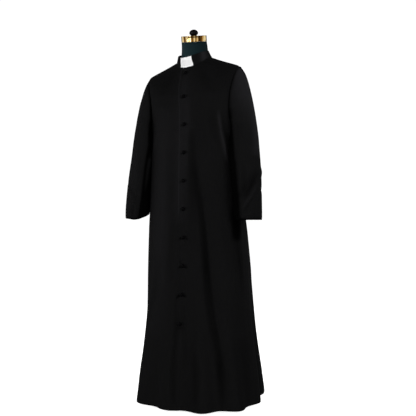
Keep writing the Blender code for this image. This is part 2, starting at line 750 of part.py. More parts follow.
def make_torso():
    """The form's body and neck in one smooth closed solid, just inside the cloth."""
    yoke = np.linspace(SHOULDER_TIP, NECKLINE, YOKE_ROWS + 1)
    rings = []
    for station in (*FORM_STATIONS, *yoke):
        gap = row_at(FORM_GAPS, station)
        ring = []
        for turn in form_turns(station):
            point, normal, _ = body_frame(station, turn)
            side = abs(sin(radians(turn))) ** SIDE_POWER
            ring.append(point - normal * (WALL + gap.gap + gap.side_gap * side))
        rings.append(ring)
    for neck in FORM_NECK:
        rings.append([on_ring(neck, turn) for turn in form_turns(NECKLINE)])
    top = neck_place(0.0)
    around = [radians(turn) for turn in form_turns(NECKLINE)]
    rings.append([top @ Vector((NECK_TOP_RADIUS * sin(a), -NECK_TOP_RADIUS * cos(a), 0)) for a in around])
    rings[0] = [Vector((point.x, point.y, FORM_BOTTOM_Z)) for point in rings[0]]
    loft("form_torso", rings, "form_jersey")


def neck_place(above):
    """The tilted frame of the neck's top, raised along its own axis."""
    place = Matrix.Translation((0, NECK_TOP_Y, NECK_TOP_Z))
    tilt = Matrix.Rotation(radians(NECK_TILT), 4, "X")
    lean = Matrix.Rotation(radians(NECK_LEAN), 4, "Y")
    return place @ lean @ tilt @ Matrix.Translation((0, 0, above))


def make_neck_cap():
    cap = (
        (0.0, 0.0),
        (NECK_CAP_RADIUS - NECK_CAP_EDGE, 0.0),
        (NECK_CAP_RADIUS, NECK_CAP_EDGE),
        (NECK_CAP_RADIUS, NECK_CAP_HEIGHT - NECK_CAP_EDGE),
        (NECK_CAP_RADIUS - NECK_CAP_EDGE, NECK_CAP_HEIGHT),
        (0.0, NECK_CAP_HEIGHT),
    )
    turned("neck_cap", cap, NECK_CAP_SIDES, "brass", neck_place(SEAT_GAP))
    knob = scaled(KNOB_PROFILE, KNOB_RADIUS, KNOB_HEIGHT)
    turned("neck_knob", knob, KNOB_SIDES, "black_lacquer", neck_place(NECK_CAP_HEIGHT + SEAT_GAP * 2))


def make_stand():
    turned("stand_base", BASE_PROFILE, BASE_SIDES, "dark_steel")
    low = BASE_HUB_HEIGHT + SEAT_GAP
    high = FORM_BOTTOM_Z - SEAT_GAP
    pole = ((0.0, low), (POLE_RADIUS, low), (POLE_RADIUS, high), (0.0, high))
    turned("stand_pole", pole, POLE_SIDES, "dark_steel")


def clear_scene():
    for obj in list(bpy.data.objects):
        bpy.data.objects.remove(obj)


def main():
    clear_scene()
    front = make_body()
    make_buttons(front)
    collar = collar_rows()
    make_collar(collar)
    make_tab(collar)
    for arm in ARMS:
        make_sleeve(arm)
    make_torso()
    make_neck_cap()
    make_stand()


main()
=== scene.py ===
"""A long black cassock on a limbless dress form: cloth, sewing, buttons, collar and stand, in metres."""
from collections import namedtuple
from functools import partial
from math import cos, pi, radians, sin, tau

import bmesh
import bpy
import numpy as np
from mathutils import Matrix, Vector, kdtree, noise
from mathutils.bvhtree import BVHTree


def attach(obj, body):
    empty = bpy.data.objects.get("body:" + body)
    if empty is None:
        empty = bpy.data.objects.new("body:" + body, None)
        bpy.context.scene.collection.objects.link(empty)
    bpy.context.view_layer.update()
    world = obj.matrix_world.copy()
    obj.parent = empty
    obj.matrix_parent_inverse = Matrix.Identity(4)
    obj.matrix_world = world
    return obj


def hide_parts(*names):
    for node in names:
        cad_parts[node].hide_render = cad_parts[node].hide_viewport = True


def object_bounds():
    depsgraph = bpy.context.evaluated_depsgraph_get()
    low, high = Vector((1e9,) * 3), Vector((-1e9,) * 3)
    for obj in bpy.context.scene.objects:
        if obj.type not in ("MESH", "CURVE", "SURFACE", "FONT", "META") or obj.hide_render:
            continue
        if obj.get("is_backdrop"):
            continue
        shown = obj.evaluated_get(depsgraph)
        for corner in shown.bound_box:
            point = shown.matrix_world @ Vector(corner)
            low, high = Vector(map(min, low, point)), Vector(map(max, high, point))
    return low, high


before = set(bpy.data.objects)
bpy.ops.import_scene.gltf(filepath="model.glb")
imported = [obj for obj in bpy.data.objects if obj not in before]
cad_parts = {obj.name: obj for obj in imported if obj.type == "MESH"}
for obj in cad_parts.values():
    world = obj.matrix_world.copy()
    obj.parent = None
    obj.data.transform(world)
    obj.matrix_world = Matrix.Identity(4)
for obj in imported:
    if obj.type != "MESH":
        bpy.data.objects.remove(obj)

CAD_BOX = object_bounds()
BODY = "root"

# Cloth
WALL = 0.0020
TAB_WALL = 0.0012
TAB_INNER = ((-0.0235, 1.4255), (0.0205, 1.4485))  # two corners of the tab's middle, across and up
WELD = 0.00001
RIM_EDGE = 1.3  # in wall thicknesses: a face with a shorter edge belongs to the wall's rim
SHARP_ANGLE = 50.0  # degrees between faces, from which an edge is drawn sharp
FORM_JOIN_ANGLE = 40.0  # degrees between two triangles of the form that make one quad
FINE_LEVELS = 3  # subdivision of the body's panels, the sleeves and the tab
SMALL_LEVELS = 2  # of the collar and the form
FITTING_ROUNDS = 3
SEAM_ROLL = 0.0009  # how far cloth dips into a seam
SEAM_REACH = 0.0045
SEAM_CLOSING = 0.0006  # how far each edge grows towards the piece that it is sewn to
CREASE_MARGIN = 4.0 * SEAM_REACH  # distance from an edge over which the creases flatten
CREASE_FADE = 0.7  # powers of the sine that fades a crease or shade along it: lower is blunter
SHADE_FADE = 0.35
HEM_TURNING = 0.050  # height of the hem's turned-up edge
HEM_LIFT = 0.0005
RIPPLE = 0.0016  # slow unevenness of hanging cloth
RIPPLE_RATE = (9.0, 9.0, 2.6)  # its changes in a metre along each axis
MEANDER = 1.1  # degrees that a crease strays from its line
MEANDER_RATE = 11.0  # radians in a metre of height
WEAVE = "weave"  # name of the cloth's own map, in metres
PAINTED_LIGHT_ATTRIBUTE = "nap"  # name of the attribute of painted light: -1 painted shade, 1 painted highlight
PAINTED_SHADE_DEPTH = 0.0145  # of a crease whose trough gets full painted shade
SEAM_PAINTED_SHADE = -1.0  # painted shade on a sleeve's cloth where it dips into a seam
SEAM_PAINTED_SHADE_REACH = 0.0070
EDGE_PAINTED_HIGHLIGHT = 0.30  # of the painted highlight along the lapping front's free edge
EDGE_HIGHLIGHT_WIDTH = 0.0050
EDGE_HIGHLIGHT_LOW = 0.80  # height under which that edge has no painted highlight
PAINTED_SHADE_POWER = 4  # of the profile across a band of painted shade: flat-topped
PAINTED_HIGHLIGHT_POWER = 2  # and soft across a band of painted highlight

# Sewing
STITCH_PITCH = 0.0034
STITCH_LENGTH = 0.0026
THREAD_RADIUS = 0.00032
THREAD_STAND = 0.4  # share of that radius that a stitch's middle stands off the cloth
EDGE_STITCH_IN = 0.0060  # from the lapping front's free edge
EDGE_STEP = 0.02  # between the heights at which that edge is found
EDGE_TOP = 1.40
EDGE_BAND = 0.012  # the cloth read at each of them reaches so far up and down
EDGE_STITCH_START = 0.010  # from the lowest of those heights to the first stitch
EDGE_STITCH_END = 0.004  # from the highest one down to the last stitch
EDGE_RADIUS = 0.11  # of that edge round the form
HEM_FLARE = 0.1  # height under which it is further out
HEM_FLARE_RADIUS = 0.20
CAST_RADIUS = 0.7  # outside all the cloth: where the rays that find it start
CAST_HEIGHT = 0.02  # off the cloth: where the rays under a buttonhole start
HOLE_LENGTH = 0.0180
HOLE_WIDTH = 0.0034
HOLE_THREAD = 0.0007
HOLE_SHIFT = 0.0024  # from the button's middle to the hole's, away from the free edge

# Turned pieces: a profile runs up from the foot's middle to the top's
UP = (0.0, 0.0, 1.0)
POINT_DIGITS = 6  # decimals of a metre to which two points are told apart
Ring = namedtuple("Ring", "radius height")
BUTTON_RIM = 0.20  # radius of a button's rolled rim, as a share of its height
BUTTON_FOOT = 1.6  # in rim radii: how far in from the edge the foot ends and the dome starts
BUTTON_TUCK = (1.1, 0.25)  # in rim radii, in from the edge and up: the cloth tucked under the rim
BUTTON_RIM_RISE = 1.25  # in rim radii: height of the rim's middle
BUTTON_CROWN = (75.0, 62.0, 48.0, 34.0, 20.0, 8.0)  # the dome's rings, in degrees from its axis
BASE_ROUND = 0.004  # of the base's outer edge
BASE_EDGE = 0.012  # height of that edge
BASE_CHAMFER = (0.001, 0.0015)  # in from the edge and up
BASE_SLOPE = (  # up to the hub's wall
    Ring(0.100, 0.0150),
    Ring(0.075, 0.0195),
    Ring(0.055, 0.0270),
    Ring(0.040, 0.0350),
    Ring(0.034, 0.0380),
    Ring(0.030, 0.0460),
    Ring(0.0272, 0.0560),
)
HUB_ROUND = 0.003
POLE_CHAMFER = 0.0005
CLAMP_DEPTH = 0.0015  # of the groove that the pole's clamp sits in
CLAMP_FOOT = 0.032  # from the pole's top down to the groove's two ends
CLAMP_TOP = 0.003
CLAMP_SLOPE = 0.001  # height of the groove's sloping ends
CAP_ROLL = 0.0016  # radius of the brass cap's rolled edges
CAP_LIP = 0.0008  # height of the upright lip beside each roll
CAP_SLOPE = 0.0014  # from each roll to the wall, which lies a little deeper
CAP_WALL_DEPTH = 0.0003
CAP_DISH = (  # the dished top: shares of the cap's radius, and depths
    (0.62, 0.0002),
    (0.60, 0.0012),
    (0.24, 0.0012),
    (0.0, 0.0012),
)
KNOB_FOOT = 0.64  # share of the knob's radius
KNOB_WAIST = 0.42  # share of its height at which it is widest
KNOB_LOWEST = -48  # degrees from level at the waist, of its lowest ring
KNOB_STEP = 8  # degrees between its rings

# Studio: turns in degrees from the front, to the wearer's left
VIEW_TURN = 25.0
VIEW_DISTANCE = 3.0
VIEW_ASIDE = 0.0534
VIEW_HEIGHT = 0.819
VIEW_LENS = 60.23
VIEW_RISE = 0.0048  # share of the frame
VIEW_SENSOR = 36.0  # mm
STAGE_RADIUS = 14.0
ROOM_LIGHT = 0.24  # overhead
ROOM_LEVEL = 0.64  # share of it that comes from level and from below
ROOM_RISE = (0.10, 0.70)  # it grows between directions that rise by these shares of their length
LIGHT_AIM = 0.95  # height that the lamps face
BOX_DISTANCE = 3.0
REFLECTOR_DISTANCE = 3.4
GLOSSY_BOX = "left_front"  # the only one that shows in gloss
Lamp = namedtuple("Lamp", "name turn height size watts")  # left and right as the camera sees them
SOFT_BOXES = (
    Lamp("left_side", -80.0, 1.25, (1.3, 2.0), 50.0),
    Lamp("left_front", -20.0, 1.35, (1.3, 2.0), 38.0),
    Lamp("right_front", 25.0, 1.35, (1.3, 2.0), 44.0),
    Lamp("right_middle", 60.0, 1.30, (1.3, 2.0), 38.0),
    Lamp("right_side", 96.0, 1.75, (1.2, 1.6), 22.0),
    Lamp("back_fill", 205.0, 1.90, (1.6, 1.6), 18.0),
)
REFLECTORS = (  # show in polished surfaces only
    Lamp("front_reflector", 25.0, 1.40, (6.0, 3.0), 36.0),
    Lamp("left_reflector", -72.0, 1.40, (5.0, 3.0), 30.0),
    Lamp("right_reflector", 122.0, 1.40, (5.0, 3.0), 30.0),
)

BUTTONS = tuple(f"button_{number:02d}" for number in range(1, 11))
LAPPING_FRONT = "front_left"

# A crease runs from (turn_top, top) to (turn_low, low): turns in degrees round the form from the
# front, to the wearer's left; heights, depth and width in metres. A trough's depth is negative.
# Bow is how many degrees its middle strays from the straight line.
Crease = namedtuple("Crease", "turn_top top turn_low low depth width bow")
BODY_CREASES = (
    # chest and shoulders
    Crease(60.0, 1.210, 71.0, 1.020, 0.0046, 0.0100, 0.0),
    Crease(67.0, 1.215, 77.0, 1.030, -0.0040, 0.0120, 0.0),
    Crease(50.0, 1.250, 61.0, 1.080, -0.0022, 0.0160, 0.0),
    Crease(-58.0, 1.220, -68.0, 1.050, 0.0026, 0.0130, 0.0),
    Crease(-66.0, 1.220, -76.0, 1.060, -0.0026, 0.0130, 0.0),
    Crease(38.0, 1.420, 52.0, 1.300, -0.0018, 0.0200, 0.0),
    Crease(-36.0, 1.420, -50.0, 1.310, -0.0016, 0.0200, 0.0),
    # waist to hem, front
    Crease(24.5, 1.420, 19.0, 1.080, 0.0007, 0.0040, 0.0),
    Crease(24.8, 1.030, 53.2, 0.010, -0.0102, 0.0130, 5.2),
    Crease(-70.0, 1.160, -68.0, 0.720, 0.0042, 0.0350, 0.0),
    Crease(16.0, 1.150, 22.0, 0.820, -0.0024, 0.0160, 0.0),
    Crease(38.5, 0.860, 63.0, 0.080, 0.0030, 0.0180, 4.0),
    Crease(-34.0, 1.100, -29.0, 0.760, -0.0016, 0.0220, 0.0),
    Crease(-22.0, 0.820, -26.0, 0.500, -0.0018, 0.0200, 0.0),
    Crease(8.0, 0.430, 15.0, 0.160, -0.0024, 0.0110, 0.0),
    Crease(-6.0, 0.480, -2.0, 0.210, -0.0022, 0.0100, 0.0),
    Crease(4.0, 0.300, -2.0, 0.030, 0.0026, 0.0130, 0.0),
    Crease(-3.0, 0.260, 3.0, 0.020, -0.0028, 0.0120, 0.0),
    Crease(22.0, 0.330, 26.0, 0.010, -0.0022, 0.0150, 0.0),
    Crease(78.0, 0.840, 83.0, 0.440, -0.0060, 0.0180, 0.0),
    Crease(-48.0, 0.640, -55.0, 0.160, -0.0020, 0.0200, 0.0),
    # sides and back
    Crease(112.0, 1.230, 104.0, 1.020, 0.0036, 0.0110, 0.0),
    Crease(120.0, 1.240, 111.0, 1.000, -0.0034, 0.0130, 0.0),
    Crease(-110.0, 1.230, -103.0, 1.030, 0.0038, 0.0110, 0.0),
    Crease(-119.0, 1.230, -110.0, 1.010, -0.0032, 0.0130, 0.0),
    Crease(160.0, 1.120, 150.0, 0.660, -0.0036, 0.0170, 3.0),
    Crease(-158.0, 1.160, -148.0, 0.700, -0.0034, 0.0180, -3.0),
    Crease(148.0, 0.860, 140.0, 0.340, 0.0034, 0.0190, 0.0),
    Crease(-144.0, 0.800, -137.0, 0.300, 0.0032, 0.0200, 0.0),
    Crease(-172.0, 0.700, -168.0, 0.160, -0.0034, 0.0180, 2.0),
    Crease(168.0, 0.620, 172.0, 0.120, 0.0028, 0.0200, 0.0),
    Crease(126.0, 0.560, 122.0, 0.080, -0.0030, 0.0220, 0.0),
    Crease(-124.0, 0.600, -120.0, 0.100, -0.0030, 0.0220, 0.0),
)

# The sleeves' creases: turns in degrees round the arm from its front, outwards over the arm's back.
LEFT_SLEEVE_CREASES = (
    # the hollow beside the body
    Crease(-20.0, 1.170, -26.0, 0.700, -0.0040, 0.0120, 0.0),
    # over the cuff
    Crease(86.0, 0.970, 4.0, 0.845, -0.0034, 0.0120, 0.0),
    Crease(96.0, 0.930, -12.0, 0.815, 0.0032, 0.0110, 0.0),
    Crease(70.0, 0.880, 0.0, 0.800, -0.0026, 0.0080, 0.0),
    Crease(20.0, 1.020, 8.0, 0.860, -0.0030, 0.0110, 0.0),
    Crease(20.0, 1.280, 6.0, 1.060, 0.0022, 0.0120, 0.0),
    Crease(66.0, 1.260, 52.0, 1.000, -0.0016, 0.0200, 0.0),
    Crease(160.0, 1.020, 88.0, 0.930, 0.0034, 0.0120, 0.0),
    Crease(176.0, 0.960, 110.0, 0.880, -0.0030, 0.0120, 0.0),
    Crease(150.0, 1.240, 138.0, 1.060, -0.0022, 0.0160, 0.0),
)
RIGHT_SLEEVE_CREASES = (
    # the hollow beside the body
    Crease(-30.0, 1.290, -34.0, 0.700, -0.0020, 0.0130, -20.0),
    Crease(-105.0, 1.120, -105.0, 0.740, 0.0036, 0.0300, 0.0),
    Crease(-10.0, 1.060, -22.0, 0.950, 0.0026, 0.0110, 0.0),
    Crease(56.0, 0.930, -20.0, 0.862, -0.0026, 0.0110, 0.0),
    Crease(40.0, 0.900, -24.0, 0.826, 0.0030, 0.0100, 0.0),
    Crease(-4.0, 0.850, 12.0, 0.782, -0.0026, 0.0090, 0.0),
    Crease(70.0, 1.250, 56.0, 1.020, -0.0018, 0.0190, 0.0),
    Crease(18.0, 1.260, 4.0, 1.060, 0.0018, 0.0120, 0.0),
    Crease(158.0, 1.010, 84.0, 0.930, -0.0034, 0.0120, 0.0),
    Crease(170.0, 0.960, 100.0, 0.880, 0.0030, 0.0120, 0.0),
    Crease(148.0, 1.240, 136.0, 1.050, -0.0020, 0.0160, 0.0),
)

# Drag lines and dimples of the lapping front round its buttons: places from a button's middle, across
# to the wearer's left and up, tilt in degrees, half length, half width and depth in metres.
Dent = namedtuple("Dent", "first last across up tilt length width depth")
DENTS = (
    Dent(1, 10, 0.0006, -0.0010, 12.0, 0.0135, 0.0048, -0.0020),
    Dent(7, 9, -0.0110, -0.0040, 32.0, 0.0110, 0.0036, -0.0022),
    Dent(7, 9, 0.0105, -0.0040, -30.0, 0.0100, 0.0036, -0.0022),
    Dent(9, 9, -0.0200, -0.0120, 34.0, 0.0120, 0.0036, -0.0016),
    Dent(8, 8, -0.0120, 0.0130, -36.0, 0.0100, 0.0040, -0.0012),
    Dent(5, 9, 0.0020, 0.0120, 0.0, 0.0080, 0.0040, 0.0010),
    Dent(5, 9, 0.0020, -0.0130, 0.0, 0.0100, 0.0050, 0.0010),
    Dent(10, 10, 0.0000, -0.0180, 8.0, 0.0160, 0.0050, -0.0010),
)
DENT_PAINTED_SHADE_DEPTH = 0.0022  # of a dent that gets full painted shade
DENT_ROW = 0.0024  # height of the rows cut into the cloth round a button
DENT_ROWS = 12
DENT_SIDE = 0.045  # how far they reach to each side

# Bands of painted shade (negative, flat-topped) and painted highlight (positive, soft) in the cloth's
# colour:
# each band runs like a crease.
Shade = namedtuple("Shade", "turn_top top turn_low low width bow nap")
BODY_SHADES = (
    Shade(-3.0, 1.430, -8.0, 0.760, 0.030, 0.0, 0.22),
    Shade(-49.0, 1.260, -42.0, 0.280, 0.055, 0.0, 0.15),
    Shade(-49.0, 1.260, -45.0, 0.480, 0.050, 0.0, 0.09),
    Shade(15.0, 1.160, 25.0, 0.760, 0.019, 0.0, -0.18),
    Shade(8.0, 1.290, 9.0, 1.000, 0.012, 0.0, 0.16),
    Shade(61.0, 1.230, 70.0, 1.020, 0.006, 0.0, 0.50),
    Shade(80.0, 0.830, 79.0, 0.690, 0.025, 0.0, -0.95),
    Shade(42.8, 0.560, 50.9, 0.200, 0.014, 0.6, 0.26),
    Shade(48.4, 0.340, 55.4, -0.080, 0.010, 0.3, -0.16),
    Shade(-62.0, 1.500, -60.0, 1.300, 0.080, 0.0, -0.24),
    Shade(70.0, 1.500, 66.0, 1.300, 0.080, 0.0, -0.14),
    Shade(66.0, 0.930, 72.0, 0.560, 0.022, 0.0, -0.14),
    Shade(74.0, 0.300, 78.0, -0.060, 0.050, 0.0, -0.20),
    Shade(-3.0, 0.400, 2.0, 0.030, 0.013, 0.0, -0.26),
    Shade(25.0, 0.240, 26.0, 0.005, 0.014, 0.0, -0.20),
)
# on the sleeves: painted shade on the side towards the body, painted highlights on their tops
LEFT_SLEEVE_SHADES = (
    Shade(-38.0, 1.240, -38.0, 0.700, 0.0235, 0.0, -1.40),
    Shade(96.0, 1.450, 104.0, 1.040, 0.044, 0.0, 0.80),
    Shade(34.0, 1.450, 24.0, 1.265, 0.050, 0.0, 0.14),
    Shade(34.0, 1.450, 22.0, 1.225, 0.050, 0.0, 0.11),
    Shade(34.0, 1.450, 18.0, 1.170, 0.050, 0.0, 0.09),
    Shade(95.0, 0.985, -4.0, 0.870, 0.026, 0.0, -0.30),
    Shade(88.0, 0.925, -12.0, 0.815, 0.008, 0.0, 0.12),
)
RIGHT_SLEEVE_SHADES = (
    Shade(-44.0, 1.420, -62.0, 1.040, 0.026, 0.0, -1.20),
    Shade(-82.0, 1.160, -46.0, 0.690, 0.025, -12.0, -1.40),
    Shade(-30.0, 0.900, -44.0, 0.850, 0.007, 0.0, 0.10),
    Shade(10.0, 1.330, 4.0, 0.860, 0.040, 0.0, 0.10),
)
# a painted highlight on the collar
COLLAR_SHADES = (Shade(56.0, 1.530, 56.0, 1.440, 0.019, 0.0, 0.90),)

ArmPoint = namedtuple("ArmPoint", "height out back")
ARM_LINE = (  # the middle of the left sleeve
    ArmPoint(0.774, 0.2600, -0.046),
    ArmPoint(0.874, 0.2555, -0.045),
    ArmPoint(1.004, 0.2455, -0.040),
    ArmPoint(1.104, 0.2310, -0.024),
    ArmPoint(1.404, 0.1900, 0.000),
)

# What was cut: the flat width and length of each cloth piece, and its area in square metres.
Cut = namedtuple("Cut", "width length area")


# ---------------------------------------------------------------- finishes


class Value:
    """A shader socket that takes part in Python's arithmetic."""

    def __init__(self, nodes, socket):
        self.nodes = nodes
        self.socket = socket

    def math(self, operation, *others):
        inputs = dict(enumerate((self, *others)))
        return self.nodes.node("ShaderNodeMath", {"operation": operation}, inputs)

    def __add__(self, other):
        return self.math("ADD", other)

    __radd__ = __add__

    def __mul__(self, other):
        return self.math("MULTIPLY", other)

    __rmul__ = __mul__


class Nodes:
    """The node tree of a material or world, built node by node."""

    def __init__(self, owner):
        owner.use_nodes = True
        self.tree = owner.node_tree
        self.tree.nodes.clear()

    def node(self, kind, settings=None, sockets=None, output=0):
        """Add a node, set it up, give its sockets values or links, and return one of its outputs."""
        made = self.tree.nodes.new(kind)
        for name, setting in (settings or {}).items():
            if name == "stops":
                self.set_stops(made.color_ramp, setting)
            else:
                setattr(made, name, setting)
        for place, value in (sockets or {}).items():
            if isinstance(value, Value):
                self.tree.links.new(value.socket, made.inputs[place])
            else:
                made.inputs[place].default_value = value
        return Value(self, made.outputs[output]) if made.outputs else None

    @staticmethod
    def set_stops(ramp, stops):
        ramp.elements[0].position = stops[0][0]
        ramp.elements[-1].position = stops[-1][0]
        for position, _ in stops[1:-1]:
            ramp.elements.new(position)
        for element, (_, colour) in zip(ramp.elements, stops):
            element.color = (*colour, 1.0)

    def part_of(self, vector, axis):
        return self.node("ShaderNodeSeparateXYZ", sockets={"Vector": vector}, output=axis)


class Finish(Nodes):
    """One material."""

    def __init__(self, name):
        self.material = bpy.data.materials.new(name)
        super().__init__(self.material)

    def place(self):
        return self.node("ShaderNodeTexCoord", output="Object")

    def noise(self, vector, scale, detail=2.0):
        sockets = {"Vector": vector, "Scale": scale, "Detail": detail}
        return self.node("ShaderNodeTexNoise", sockets=sockets)

    def stretched(self, vector, scale):
        return self.node("ShaderNodeMapping", sockets={"Vector": vector, "Scale": scale})

    def blend(self, share, low, high):
        """Mix two colours."""
        low, high = (c if isinstance(c, Value) else (*c, 1.0) for c in (low, high))
        sockets = {"Factor": share, 6: low, 7: high}
        return self.node("ShaderNodeMix", {"data_type": "RGBA"}, sockets, output=2)

    def bump(self, height, strength, distance):
        sockets = {"Height": height, "Strength": strength, "Distance": distance}
        return self.node("ShaderNodeBump", sockets=sockets)

    def surface(self, **sockets):
        """Finish the material with a Principled surface, its sockets named with underscores."""
        named = {name.replace("_", " "): value for name, value in sockets.items()}
        shader = self.node("ShaderNodeBsdfPrincipled", sockets=named)
        self.node("ShaderNodeOutputMaterial", sockets={"Surface": shader})
        return self.material


def black_cloth():
    """Black wool blend: a fine twill, soft cloudiness and a faint sheen, with shade and highlights
    painted into its colour.
    """
    cloth = Finish("black_cloth")
    weave = cloth.node("ShaderNodeUVMap", {"uv_map": WEAVE})
    across = cloth.part_of(weave, "X")
    up = cloth.part_of(weave, "Y")
    twill_pitch = 0.0015
    twill_slope = 0.7
    twill = ((across + up * twill_slope) * (tau / twill_pitch)).math("SINE")
    place = cloth.place()
    fibre = cloth.noise(place, 900.0)
    cloud = cloth.noise(cloth.stretched(place, (1.0, 1.0, 0.5)), 11.0, 3.0)
    height = twill * 0.25 + fibre * 0.9
    nap = cloth.node("ShaderNodeAttribute", {"attribute_name": PAINTED_LIGHT_ATTRIBUTE}, output="Fac")
    open_cloth = cloth.blend(cloud, (0.0034, 0.0034, 0.0035), (0.0046, 0.0046, 0.0048))
    # painted shade: the colour falls towards near black where the painted light value is negative
    shaded = cloth.blend(nap * -1.0, open_cloth, (0.0003, 0.0003, 0.0003))
    return cloth.surface(
        # painted highlight: the colour rises towards a lighter grey where the painted light value is
        # positive
        Base_Color=cloth.blend(nap, shaded, (0.0125, 0.0122, 0.0136)),
        Roughness=fibre * 0.16 + cloud * 0.06 + 0.48,
        Specular_IOR_Level=0.006,
        Sheen_Weight=0.002,
        Sheen_Roughness=0.5,
        Sheen_Tint=(0.86, 0.82, 1.0, 1.0),
        Normal=cloth.bump(height, 0.30, 0.0003),
    )


def sewing_thread():
    """Black polyester thread with a soft gloss and a slight ply."""
    thread = Finish("sewing_thread")
    ply = thread.noise(thread.place(), 2400.0)
    return thread.surface(
        Base_Color=thread.blend(ply, (0.0015, 0.0015, 0.0017), (0.0034, 0.0034, 0.0040)),
        Roughness=ply * 0.2 + 0.40,
        Specular_IOR_Level=0.05,
        Normal=thread.bump(ply, 0.3, 0.0002),
    )


def button_cloth():
    """Black satin drawn over a domed button."""
    satin = Finish("button_cloth")
    place = satin.place()
    rib = satin.noise(satin.stretched(place, (1.0, 1.0, 4.0)), 1300.0)
    return satin.surface(
        Base_Color=satin.blend(rib, (0.0007, 0.0007, 0.0008), (0.0016, 0.0016, 0.0018)),
        Roughness=rib * 0.2 + 0.30,
        Specular_IOR_Level=0.02,
        Normal=satin.bump(rib, 0.25, 0.0002),
    )


def white_tab():
    """Stiff white collar linen under a clear finish, a little greyer over its middle than round its
    edge.
    """
    tab = Finish("white_tab")
    inner = tab.node("ShaderNodeAttribute", {"attribute_name": "inner"}, output="Fac")
    grain = tab.noise(tab.place(), 1600.0)
    return tab.surface(
        Base_Color=tab.blend(inner, (0.69, 0.69, 0.69), (0.62, 0.62, 0.62)),
        Roughness=grain * 0.12 + 0.36,
        Normal=tab.bump(grain, 0.12, 0.0002),
    )


def form_jersey():
    """Dark teal jersey stretched over the form, with fine upright ribs, and shade painted into it
    towards the wearer's left.
    """
    jersey = Finish("form_jersey")
    place = jersey.place()
    turn = jersey.node("ShaderNodeVectorMath", {"operation": "NORMALIZE"}, {0: place})
    rib = (jersey.part_of(turn, "X") * 900.0).math("SINE")
    knit = jersey.noise(jersey.stretched(place, (1.0, 1.0, 0.6)), 1500.0)
    cloud = jersey.noise(place, 28.0, 3.0)
    worn = jersey.blend(cloud, (0.0040, 0.0125, 0.0150), (0.0070, 0.0185, 0.0216))
    # painted shade: the colour darkens towards the wearer's left
    painted_shade_side = jersey.part_of(place, "X") * 11.0 + 0.20
    return jersey.surface(
        Base_Color=jersey.blend(painted_shade_side, worn, (0.0013, 0.0045, 0.0055)),
        Roughness=knit * 0.2 + 0.52,
        Specular_IOR_Level=0.05,
        Normal=jersey.bump(knit + rib * 0.3, 0.25, 0.0003),
    )


def brass():
    """Polished brass with upright streaks in its colour: partly tarnish left by turning and handling,
    partly painted reflection stripes.
    """
    metal = Finish("brass")
    place = metal.place()
    level = metal.stretched(place, (1.0, 1.0, 0.0))
    turn = metal.node("ShaderNodeVectorMath", {"operation": "NORMALIZE"}, {0: level})
    # dark brown and pale gold stops: tarnish, and painted reflection stripes
    tarnish_and_painted_reflection = metal.noise(turn, 6.0, 2.5)
    stops = ((0.42, (0.14, 0.058, 0.008)), (0.48, (0.66, 0.38, 0.100)), (0.56, (0.96, 0.74, 0.360)))
    return metal.surface(
        Base_Color=metal.node("ShaderNodeValToRGB", {"stops": stops}, {"Fac": tarnish_and_painted_reflection}),
        Metallic=1.0,
        Roughness=tarnish_and_painted_reflection * 0.10 + 0.14,
    )


def black_lacquer():
    """Deep black gloss with a little dust in the shine."""
    lacquer = Finish("black_lacquer")
    dust = lacquer.noise(lacquer.place(), 340.0, 4.0)
    return lacquer.surface(
        Base_Color=lacquer.blend(dust, (0.0010, 0.0010, 0.0012), (0.0030, 0.0027, 0.0030)),
        Roughness=dust * 0.10 + 0.16,
        Specular_IOR_Level=0.10,
    )


def dark_steel():
    """Dark satin paint on turned steel, with a light orange-peel and patchy wear."""
    paint = Finish("dark_steel")
    place = paint.place()
    peel = paint.noise(place, 420.0)
    wear = paint.noise(place, 36.0, 5.0)
    return paint.surface(
        Base_Color=paint.blend(wear, (0.012, 0.012, 0.013), (0.030, 0.030, 0.032)),
        Metallic=0.35,
        Roughness=wear * 0.2 + 0.30,
        Normal=paint.bump(peel, 0.12, 0.0003),
    )


def studio_floor():
    """A pale, softly glowing floor."""
    floor = Finish("studio_floor")
    soft = floor.noise(floor.place(), 3.0)
    return floor.surface(
        Base_Color=floor.blend(soft, (0.86, 0.86, 0.86), (0.90, 0.90, 0.90)),
        Roughness=0.9,
        Specular_IOR_Level=0.0,
        Emission_Color=(1.0, 1.0, 1.0, 1.0),
        Emission_Strength=0.85,
    )


def backdrop_white():
    """An evenly lit white backdrop."""
    backdrop = Finish("backdrop_white")
    return backdrop.surface(
        Base_Color=(0.0, 0.0, 0.0, 1.0),
        Specular_IOR_Level=0.0,
        Emission_Color=(1.0, 1.0, 1.0, 1.0),
        Emission_Strength=1.05,
    )


# ---------------------------------------------------------------- making and placing


def new_object(name, mesh):
    piece = bpy.data.objects.new(name, mesh)
    bpy.context.scene.collection.objects.link(piece)
    return piece


def smooth_shaded(mesh):
    """Shade a mesh smooth but for its sharp edges."""
    mesh.shade_smooth()
    mesh.set_sharp_from_angle(angle=radians(SHARP_ANGLE))


def from_bmesh(name, bm, smooth=True):
    mesh = bpy.data.meshes.new(name)
    bm.to_mesh(mesh)
    bm.free()
    if smooth:
        smooth_shaded(mesh)
    return new_object(name, mesh)


def put_on(piece, material, slot, *nodes):
    """Give a piece its finish and its place in the frame."""
    piece.data.materials.clear()
    piece.data.materials.append(material)
    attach(piece, BODY)
    if nodes:
        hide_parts(*nodes)


def modified(piece, kind, **settings):
    """The mesh that a piece has under a modifier."""
    modifier = piece.modifiers.new(kind.title(), kind)
    for name, setting in settings.items():
        setattr(modifier, name, setting)
    graph = bpy.context.evaluated_depsgraph_get()
    mesh = bpy.data.meshes.new_from_object(piece.evaluated_get(graph))
    piece.modifiers.clear()
    return mesh


def applied(piece, kind, **settings):
    """Turn a modifier's result into the piece's own mesh."""
    old = piece.data
    piece.data = modified(piece, kind, **settings)
    bpy.data.meshes.remove(old)


